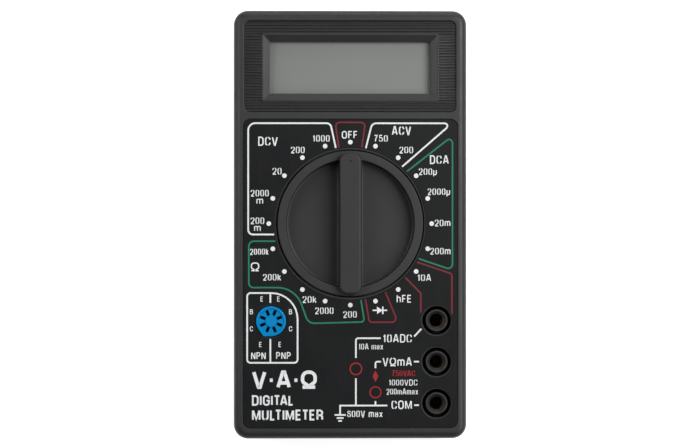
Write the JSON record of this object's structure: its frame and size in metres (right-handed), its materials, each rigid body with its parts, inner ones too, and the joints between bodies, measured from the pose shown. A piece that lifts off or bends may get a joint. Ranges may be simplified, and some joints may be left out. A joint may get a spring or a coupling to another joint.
{
  "type": "digital multimeter",
  "caption": "Flat pocket digital multimeter with a ribbed display surround, a rotary range selector with a grip bar, a transistor socket and a column of test sockets.",
  "frame": {"origin": "centre of the flat back face that the meter lies on", "axes": "+Z out of the front panel, +Y towards the display end, +X to the right as the panel is read"},
  "size_m": [0.0684, 0.126, 0.0276],
  "materials": {
    "casing": "fine spark-eroded texture, moulded black plastic",
    "label": "satin printed polycarbonate sheet",
    "knob": "moulded black plastic, slightly smoother than the case",
    "window": "clear polished acrylic",
    "lcd": "grey polarising film",
    "lcd_glass": "polished thin glass",
    "holder": "plain moulding",
    "rubber": "silicone elastomer",
    "socket": "glossy blue moulding",
    "brass": "turned brass",
    "spring_contact": "spring brass strip",
    "steel": "zinc-plated steel",
    "board": "green solder mask over glass epoxy",
    "epoxy": "black epoxy",
    "film": "dipped green coating",
    "resistor": "blue lacquer with tinned leads",
    "trimmer": "blue moulding",
    "trimmer_rotor": "white moulding",
    "fuse_glass": "clear glass tube",
    "battery": "printed metal jacket",
    "snap": "soft black moulding",
    "red_wire": "red insulation",
    "black_wire": "black insulation",
    "foil": "thin aluminium foil",
    "shunt": "bare copper-nickel wire"
  },
  "bodies": {
    "meter": {"front_case": "casing", "rear_case": "casing", "front_label": "label", "case_screw_1": "steel", "case_screw_2": "steel", "display_window": "window", "lcd_polarizer": "lcd", "lcd_front_glass": "lcd_glass", "lcd_rear_glass": "lcd_glass", "lcd_reflector": "foil", "lcd_holder": "holder", "zebra_strip": "rubber", "circuit_board": "board", "chip_dome": "epoxy", "high_current_jack": "brass", "volt_ohm_jack": "brass", "common_jack": "brass", "transistor_socket": "socket", "shunt_wire": "shunt", "fuse_tube": "fuse_glass", "fuse_element": "steel", "fuse_cap_1": "steel", "fuse_clip_1": "brass", "fuse_cap_2": "steel", "fuse_clip_2": "brass", "trimmer_base": "trimmer", "rectifier_diode": "epoxy", "transistor": "epoxy", "film_capacitor_1": "film", "film_capacitor_2": "film", "film_capacitor_3": "film", "film_capacitor_4": "film", "resistor_1": "resistor", "resistor_2": "resistor", "resistor_3": "resistor", "resistor_4": "resistor", "resistor_5": "resistor", "resistor_6": "resistor", "resistor_7": "resistor", "resistor_8": "resistor", "board_screw_1": "steel", "board_screw_2": "steel", "board_screw_3": "steel", "battery": "battery", "battery_snap": "snap", "positive_lead": "red_wire", "negative_lead": "black_wire", "shield_foil": "foil"},
    "selector": {"selector_knob": "knob", "contact_spring_1": "spring_contact", "contact_spring_2": "spring_contact", "contact_spring_3": "spring_contact", "contact_spring_4": "spring_contact", "contact_spring_5": "spring_contact", "contact_spring_6": "spring_contact", "detent_spring_1": "steel", "detent_spring_2": "steel"},
    "detent_ball_left": {"detent_ball_1": "steel"},
    "detent_ball_right": {"detent_ball_2": "steel"},
    "trimmer": {"trimmer_rotor": "trimmer_rotor"}
  },
  "joints": [
    {"name": "selector_turn", "type": "hinge", "parent": "meter", "child": "selector", "pos_m": [0, 0.0003, 0.024], "axis": [0, 0, 1], "continuous": true},
    {"name": "detent_left_press", "type": "slide", "parent": "selector", "child": "detent_ball_left", "axis": [0, 0, 1], "range_m": [-0.0004, 0], "stiffness_N_per_m": 300, "springref_m": 0.001, "deforming": ["detent_spring_1"]},
    {"name": "detent_right_press", "type": "slide", "parent": "selector", "child": "detent_ball_right", "axis": [0, 0, 1], "range_m": [-0.0004, 0], "stiffness_N_per_m": 300, "springref_m": 0.001, "deforming": ["detent_spring_2"]},
    {"name": "trimmer_turn", "type": "hinge", "parent": "meter", "child": "trimmer", "pos_m": [0.016, 0.034, 0.0092], "axis": [0, 0, 1], "range_deg": [-130, 130]}
  ]
}
